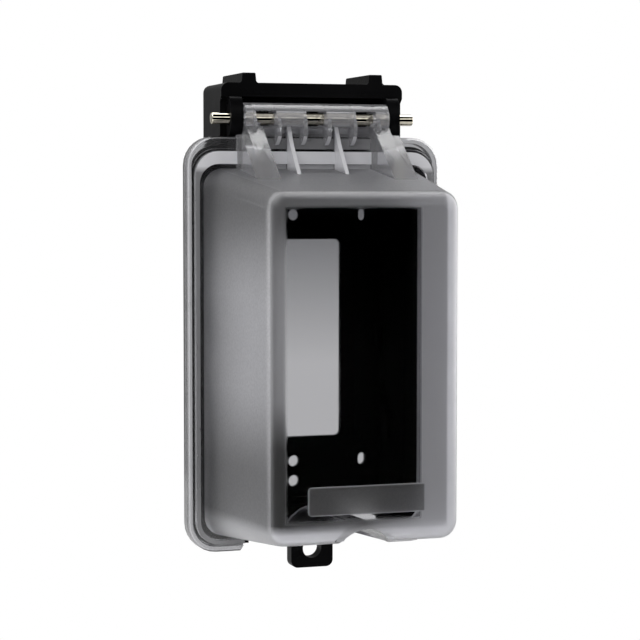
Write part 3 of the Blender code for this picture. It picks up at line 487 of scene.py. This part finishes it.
def flange_plastic(colours):
    """The stepped flange: milky on its raised bands, and clear down in its grooves, where a painted shade
    darkens it; a painted highlight makes its topmost shoulder paler.
    """
    finish, tree, shader, place = new_clear_finish("flange_polycarbonate", colours.milk, 0.2)
    share = mould_waves(tree, shader, place, 0.12, 0.2)
    raised = axis_share(tree, place, "Y", BAND_FADE)
    shoulder = axis_share(tree, place, "Y", SHOULDER_FADE)
    # Painted highlight: the topmost shoulder is made less clear, so that it shows pale
    shoulder_painted_highlight = math_node(tree, "MULTIPLY", shoulder, axis_share(tree, place, "Z", SHOULDER_TOP_FADE))
    clarity = math_node(tree, "MULTIPLY_ADD", shoulder_painted_highlight, -0.66, between(tree, raised, 1.0, 0.72))
    tree.links.new(clarity, shader.inputs["Transmission Weight"])
    band = shades(tree, share, colours.milk, 1.0, 0.94)
    # Painted shade darkens the grooves
    groove = shades(tree, share, colours.milk, 0.4, 0.35)
    tree.links.new(blend(tree, raised, groove, band), shader.inputs["Base Color"])
    return finish


def frosted_plastic(name, frost):
    """Textured walls: they scatter what is behind them; painted light makes them paler on the right and near
    the flange, painted shade darkens them near their top and foot, and a painted highlight runs along their
    bottom edge.
    """
    finish, tree, shader, place = new_clear_finish(name, frost, 0.3)
    # Painted light: the right wall is made less clear, so that it shows paler
    clarity = between(tree, axis_share(tree, place, "X", WALL_RIGHT_LIGHT_FADE), 0.93, 0.76)
    tree.links.new(clarity, shader.inputs["Transmission Weight"])
    cloud = noise(tree, place, scale=38, detail=4)
    forward = axis_share(tree, place, "Y", WALL_FRONT_FADE)
    rough = math_node(tree, "MULTIPLY_ADD", forward, 0.05, spread(tree, cloud, 0.28, 0.35))
    tree.links.new(rough, shader.inputs["Roughness"])
    speckle = spread(tree, noise(tree, place, scale=1300, detail=2), 0.0, 1.0)
    # Painted light and shade: paler near the flange, darker further forward and near the top and foot
    back = shades(tree, speckle, frost, 1.22, 1.5)
    front = shades(tree, speckle, frost, 0.92, 1.2)
    painted_wall_shade = shades(tree, speckle, frost, 0.56, 0.74)
    # Painted highlight: a paler colour for the walls' bottom edge
    pale = shades(tree, speckle, frost, 1.6, 1.7)
    body = blend(tree, forward, back, front)
    body = blend(tree, axis_share(tree, place, "Z", WALL_TOP_SHADE_FADE), body, painted_wall_shade)
    body = blend(tree, axis_share(tree, place, "Z", WALL_FOOT_SHADE_FADE), body, painted_wall_shade)
    body = blend(tree, axis_share(tree, place, "Z", FOOT_FADE), body, pale)
    tree.links.new(body, shader.inputs["Base Color"])
    fine_grain(tree, shader, place)
    return finish


def textured_plate(colours):
    """The blank plate near the bottom of the window: fine sparkle, partly clear, with a pale outline."""
    finish, tree, shader, place = new_clear_finish("frosted_plate", colours.plate, 0.35)
    outline = outside_box(tree, place, PLATE_FACE, PLATE_SOFTNESS)
    tree.links.new(between(tree, outline, 0.93, 0.72), shader.inputs["Transmission Weight"])
    grain = fine_grain(tree, shader, place)
    tree.links.new(spread(tree, grain, 0.3, 0.42), shader.inputs["Roughness"])
    share = spread(tree, grain, 0.0, 1.0)
    face = shades(tree, share, colours.plate, 1.0, 1.3)
    edge = shades(tree, share, colours.frost, 1.0, 1.1)
    tree.links.new(blend(tree, outline, face, edge), shader.inputs["Base Color"])
    return finish


def plated_steel(colours):
    """Bright plating with drawn lines along the pin, and duller spots."""
    finish, tree, shader, place = new_finish("nickel_steel", colours.steel, 0.2)
    shader.inputs["Metallic"].default_value = 1.0
    lines = noise(tree, place, scale=900, detail=4, stretch=(0.03, 1.0, 1.0))
    tree.links.new(spread(tree, lines, 0.07, 0.16), shader.inputs["Roughness"])
    spots = spread(tree, noise(tree, place, scale=700, detail=3), 0.0, 1.0, 0.45, 0.75)
    tree.links.new(shades(tree, spots, colours.steel, 1.0, 0.62), shader.inputs["Base Color"])
    bump(tree, shader, lines, distance=0.00002, strength=0.4)
    return finish


def closed_foam(colours):
    """Closed-cell foam: small pores darkened by painted shade, no gloss."""
    finish, tree, shader, place = new_finish("black_foam", colours.foam, 0.9)
    cells = tree.nodes.new("ShaderNodeTexVoronoi")
    cells.inputs["Scale"].default_value = 1400
    tree.links.new(place, cells.inputs["Vector"])
    pores = cells.outputs["Distance"]
    share = spread(tree, pores, 0.0, 1.0, 0.1, 0.6)
    # Painted shade: darker in the pores, where the relief dips
    tree.links.new(shades(tree, share, colours.foam, 0.6, 1.6), shader.inputs["Base Color"])
    tree.links.new(spread(tree, pores, 0.98, 0.85, 0.1, 0.6), shader.inputs["Roughness"])
    bump(tree, shader, pores, distance=0.00015, strength=0.7)
    return finish


# Helpers for shapes


def deselect_all():
    if bpy.context.mode != "OBJECT":
        bpy.ops.object.mode_set(mode="OBJECT")
    bpy.ops.object.select_all(action="DESELECT")


def make_active(piece):
    deselect_all()
    piece.select_set(True)
    bpy.context.view_layer.objects.active = piece


def piece_from_node(node, name):
    """A copy of a CAD node with its loose triangles merged back into whole faces."""
    piece = bpy.data.objects.new(name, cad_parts[node].data.copy())
    bpy.context.scene.collection.objects.link(piece)
    make_active(piece)
    bpy.ops.object.mode_set(mode="EDIT")
    bpy.ops.mesh.select_all(action="SELECT")
    bpy.ops.mesh.remove_doubles(threshold=MERGE_DISTANCE)
    bpy.ops.mesh.dissolve_limited(angle_limit=FLAT_ANGLE)
    bpy.ops.object.mode_set(mode="OBJECT")
    return piece


def apply_all(piece):
    make_active(piece)
    for modifier in list(piece.modifiers):
        bpy.ops.object.modifier_apply(modifier=modifier.name)


def bevel(piece, name, width, segments, angle):
    """Bevels the edges that turn by more than the angle."""
    modifier = piece.modifiers.new(name, "BEVEL")
    modifier.width = width
    modifier.segments = segments
    modifier.limit_method = "ANGLE"
    modifier.angle_limit = angle
    apply_all(piece)


def round_edges(piece, radius):
    """Rounds the piece's sharp edges, as a mould does."""
    bevel(piece, "edge_rounding", radius, EDGE_SEGMENTS, EDGE_ANGLE)
    bpy.ops.object.shade_smooth_by_angle(angle=SMOOTH_ANGLE)
    keep_flats(piece)


def keep_flats(piece):
    """Lets large faces keep their own direction, so that flat walls don't shade or refract as if curved."""
    modifier = piece.modifiers.new("flat_faces", "WEIGHTED_NORMAL")
    modifier.mode = "FACE_AREA"
    modifier.weight = FLAT_WEIGHT
    modifier.keep_sharp = True
    apply_all(piece)


def settle(piece, body, node):
    """The piece rides on its body and stands for its CAD node."""
    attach(piece, body)
    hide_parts(node)


def give_finishes(piece, *finishes):
    piece.data.materials.clear()
    for finish in finishes:
        piece.data.materials.append(finish)


def cover_part(place, normal):
    """Names the part of the cover that a face belongs to, from where it is and where it looks."""
    aside = abs(place.x)
    depth = place.y - COVER_FRONT
    on_plate = aside < PLATE_HALF_WIDTH and PLATE_BOTTOM < place.z < PLATE_TOP
    if on_plate and depth < PLATE_DEPTH:
        return "plate"
    if aside < ARCH_HALF_WIDTH and place.z < ARCH_CROWN and abs(normal.y) < ALONG_ARCH:
        return "groove"
    if place.z > HINGE_FOOT:
        return "hinge"
    on_roof = place.z > ROOF_BOTTOM and normal.z > FACING_UP
    if place.z > RIB_BOTTOM and place.y < RIB_BACK and not on_roof:
        return "gusset" if aside < GUSSET_REACH else "rib"
    if depth < PANE_DEPTH and abs(normal.y) > FACING_FRONT:
        return "front"
    if place.y < WALL_BACK:
        return "roof" if on_roof else "wall"
    in_groove = aside < GROOVE_HALF_WIDTH and GROOVE_BOTTOM < place.z < GROOVE_TOP
    if in_groove and normal.y < -FACING_FRONT and place.y > GROOVE_FRONT:
        return "groove"
    return "flange"


class WEATHERBOX_OT_base(bpy.types.Operator):
    """Make the black moulded base with rounded edges"""

    bl_idname = "weatherbox.base"
    bl_label = "Base moulding"

    def execute(self, context):
        piece = piece_from_node("base_housing", "base_moulding")
        round_edges(piece, context.scene.box_sizes.base_edge)
        give_finishes(piece, black_plastic(context.scene.box_colours))
        settle(piece, "base", "base_housing")
        return {"FINISHED"}


class WEATHERBOX_OT_cover(bpy.types.Operator):
    """Make the clear bubble cover, with a finish for each of its parts"""

    bl_idname = "weatherbox.cover"
    bl_label = "Clear cover"

    def execute(self, context):
        colours = context.scene.box_colours
        piece = piece_from_node("bubble_cover", "clear_cover")
        round_edges(piece, context.scene.box_sizes.cover_edge)
        finishes = {
            "front": clear_plastic(colours),
            "wall": frosted_plastic("frosted_polycarbonate", colours.frost),
            "flange": flange_plastic(colours),
            "plate": textured_plate(colours),
            "hinge": hinge_plastic("hinge_polycarbonate", colours.milk, 0.82, 0.08, 0.14),
            "rib": hinge_plastic("rib_polycarbonate", colours.milk, 0.84, 0.14, 0.22),
            "groove": groove_plastic(colours),
            "gusset": hinge_plastic("gusset_polycarbonate", colours.milk, 0.3, 0.12, 0.2),
            # The roof gets a lighter copy of the walls' finish: painted light on the face that looks up
            "roof": frosted_plastic("roof_polycarbonate", scaled(colours.frost, 1.6)),
        }
        give_finishes(piece, *finishes.values())
        slots = list(finishes)
        for face in piece.data.polygons:
            face.material_index = slots.index(cover_part(face.center, face.normal))
        settle(piece, "cover", "bubble_cover")
        return {"FINISHED"}


class WEATHERBOX_OT_pin(bpy.types.Operator):
    """Make the plated hinge pin from a round bar with chamfered ends"""

    bl_idname = "weatherbox.pin"
    bl_label = "Hinge pin"

    def execute(self, context):
        deselect_all()
        bpy.ops.mesh.primitive_cylinder_add(
            vertices=PIN_SIDES, radius=PIN_RADIUS, depth=PIN_LENGTH,
            location=PIN_CENTRE, rotation=(0, math.radians(90), 0),
        )
        piece = context.active_object
        piece.name = "plated_pin"
        bpy.ops.object.transform_apply(location=True, rotation=True, scale=True)
        bevel(piece, "chamfer", context.scene.box_sizes.pin_chamfer, PIN_EDGE_SEGMENTS, PIN_EDGE_ANGLE)
        bpy.ops.object.shade_smooth_by_angle(angle=PIN_SMOOTH_ANGLE)
        give_finishes(piece, plated_steel(context.scene.box_colours))
        settle(piece, "base", "hinge_pin")
        return {"FINISHED"}


class WEATHERBOX_OT_gasket(bpy.types.Operator):
    """Make the foam frame behind the base"""

    bl_idname = "weatherbox.gasket"
    bl_label = "Wall gasket"

    def execute(self, context):
        piece = piece_from_node("wall_gasket", "foam_frame")
        round_edges(piece, context.scene.box_sizes.gasket_edge)
        give_finishes(piece, closed_foam(context.scene.box_colours))
        settle(piece, "base", "wall_gasket")
        return {"FINISHED"}


class WEATHERBOX_OT_stage(bpy.types.Operator):
    """Set the camera, the floor, the lamps and the pale surround"""

    bl_idname = "weatherbox.stage"
    bl_label = "Stage"

    def execute(self, context):
        stage = context.scene.box_stage
        self.add_camera(context, stage)
        self.add_floor(context, stage)
        self.add_lamp(context, "key_lamp", KEY_PLACE, stage.key)
        self.add_lamp(context, "fill_lamp", FILL_PLACE, stage.fill)
        self.add_surround(context, stage)
        context.scene.view_settings.view_transform = "Standard"
        return {"FINISHED"}

    def add_camera(self, context, stage):
        data = bpy.data.cameras.new("photo_camera")
        data.lens = stage.lens
        data.sensor_width = 36.0
        data.clip_start = 0.01
        camera = bpy.data.objects.new("photo_camera", data)
        camera.location = stage.eye
        camera.rotation_euler = (math.radians(90) - stage.elevation, 0, stage.azimuth)
        context.scene.collection.objects.link(camera)
        context.scene.camera = camera

    def add_floor(self, context, stage):
        """A pale paper floor that the camera sees as white, also through the clear cover."""
        deselect_all()
        height = CAD_BOUNDS[0][2] - stage.floor_drop
        bpy.ops.mesh.primitive_plane_add(size=FLOOR_SIZE, location=(0, 0, height))
        floor = context.active_object
        floor.name = "floor"
        finish, tree, shader, place = new_finish("pale_floor", PAPER, 0.9)
        shader.inputs["Specular IOR Level"].default_value = 0.1
        fibres = spread(tree, noise(tree, place, scale=12, detail=3), 0.0, 1.0)
        tree.links.new(tint(tree, fibres, PAPER, BRIGHT_PAPER), shader.inputs["Base Color"])
        glow = tree.nodes.new("ShaderNodeEmission")
        path = tree.nodes.new("ShaderNodeLightPath")
        camera_ray = path.outputs["Is Camera Ray"]
        seen = math_node(tree, "MAXIMUM", camera_ray, path.outputs["Is Transmission Ray"])
        mix = tree.nodes.new("ShaderNodeMixShader")
        tree.links.new(seen, mix.inputs["Fac"])
        tree.links.new(shader.outputs["BSDF"], mix.inputs[1])
        tree.links.new(glow.outputs["Emission"], mix.inputs[2])
        output = tree.nodes["Material Output"]
        tree.links.new(mix.outputs["Shader"], output.inputs["Surface"])
        floor.data.materials.append(finish)

    def add_lamp(self, context, name, place, power):
        """A square lamp that looks at the box."""
        data = bpy.data.lights.new(name, "AREA")
        data.size = LAMP_SIZE
        data.energy = power
        lamp = bpy.data.objects.new(name, data)
        lamp.location = place
        lamp.rotation_euler = Vector(place).to_track_quat("Z", "Y").to_euler()
        context.scene.collection.objects.link(lamp)

    def add_surround(self, context, stage):
        """White to the camera and through the cover; glossy faces see soft boxes beside and in front."""
        world = bpy.data.worlds.new("pale_surround")
        world.use_nodes = True
        tree = world.node_tree
        background = tree.nodes["Background"]
        background.inputs["Color"].default_value = WHITE
        path = tree.nodes.new("ShaderNodeLightPath")
        direction = tree.nodes.new("ShaderNodeTexCoord").outputs["Generated"]
        backward = axis_value(tree, direction, "Y")
        upward = axis_value(tree, direction, "Z")
        side_boxes = math_node(
            tree, "MULTIPLY", self.level_curve(tree, backward, SIDE_BOXES), stage.side_boxes
        )
        ahead = spread(tree, backward, 0.0, 1.0, *FRONT_BOX_EDGE)
        front_share = math_node(tree, "MULTIPLY", self.level_curve(tree, upward, FRONT_BOX), ahead)
        front_box = math_node(tree, "MULTIPLY", front_share, stage.front_box)
        behind = spread(tree, backward, stage.front_dark, 1.0, *DARK_FRONT_EDGE)
        behind.node.interpolation_type = "SMOOTHSTEP"
        glossy = math_node(tree, "ADD", side_boxes, front_box)
        through = math_node(tree, "ADD", behind, front_box)
        through = choose(tree, path.outputs["Glossy Depth"], 1.0, through)
        through = choose(tree, path.outputs["Diffuse Depth"], through, stage.around)
        level = choose(tree, path.outputs["Is Glossy Ray"], stage.around, glossy)
        level = choose(tree, path.outputs["Is Transmission Ray"], level, through)
        level = choose(tree, path.outputs["Is Camera Ray"], level, 1.0)
        tree.links.new(level, background.inputs["Strength"])
        context.scene.world = world

    def level_curve(self, tree, share, points):
        """A level that follows a curve, from a direction's share of an axis, -1 to 1."""
        made = tree.nodes.new("ShaderNodeFloatCurve")
        curve = made.mapping.curves[0]
        for point in points[1:-1]:
            curve.points.new(*point)
        curve.points[0].location = points[0]
        curve.points[-1].location = points[-1]
        made.mapping.update()
        tree.links.new(math_node(tree, "MULTIPLY_ADD", share, 0.5, 0.5), made.inputs["Value"])
        return made.outputs["Value"]


class WEATHERBOX_PT_panel(bpy.types.Panel):
    """Lists the settings of the box and a button for each step"""

    bl_idname = "WEATHERBOX_PT_panel"
    bl_label = "Weatherproof Box"
    bl_space_type = "VIEW_3D"
    bl_region_type = "UI"
    bl_category = "Weatherproof Box"

    def draw(self, context):
        layout = self.layout
        for settings in (context.scene.box_sizes, context.scene.box_colours, context.scene.box_stage):
            group = layout.box()
            for name in settings.bl_rna.properties.keys():
                if name not in ("rna_type", "name"):
                    group.prop(settings, name)
        for step in STEPS:
            layout.operator(step.bl_idname)


STEPS = (
    WEATHERBOX_OT_base,
    WEATHERBOX_OT_gasket,
    WEATHERBOX_OT_pin,
    WEATHERBOX_OT_cover,
    WEATHERBOX_OT_stage,
)
CLASSES = (BoxSizes, BoxColours, BoxStage, *STEPS, WEATHERBOX_PT_panel)


def register():
    for made in CLASSES:
        bpy.utils.register_class(made)
    bpy.types.Scene.box_sizes = bpy.props.PointerProperty(type=BoxSizes)
    bpy.types.Scene.box_colours = bpy.props.PointerProperty(type=BoxColours)
    bpy.types.Scene.box_stage = bpy.props.PointerProperty(type=BoxStage)


def unregister():
    del bpy.types.Scene.box_stage
    del bpy.types.Scene.box_colours
    del bpy.types.Scene.box_sizes
    for made in reversed(CLASSES):
        bpy.utils.unregister_class(made)


def main():
    register()
    bpy.ops.weatherbox.base()
    bpy.ops.weatherbox.gasket()
    bpy.ops.weatherbox.pin()
    bpy.ops.weatherbox.cover()
    bpy.ops.weatherbox.stage()
    deselect_all()


if __name__ == "__main__":
    main()
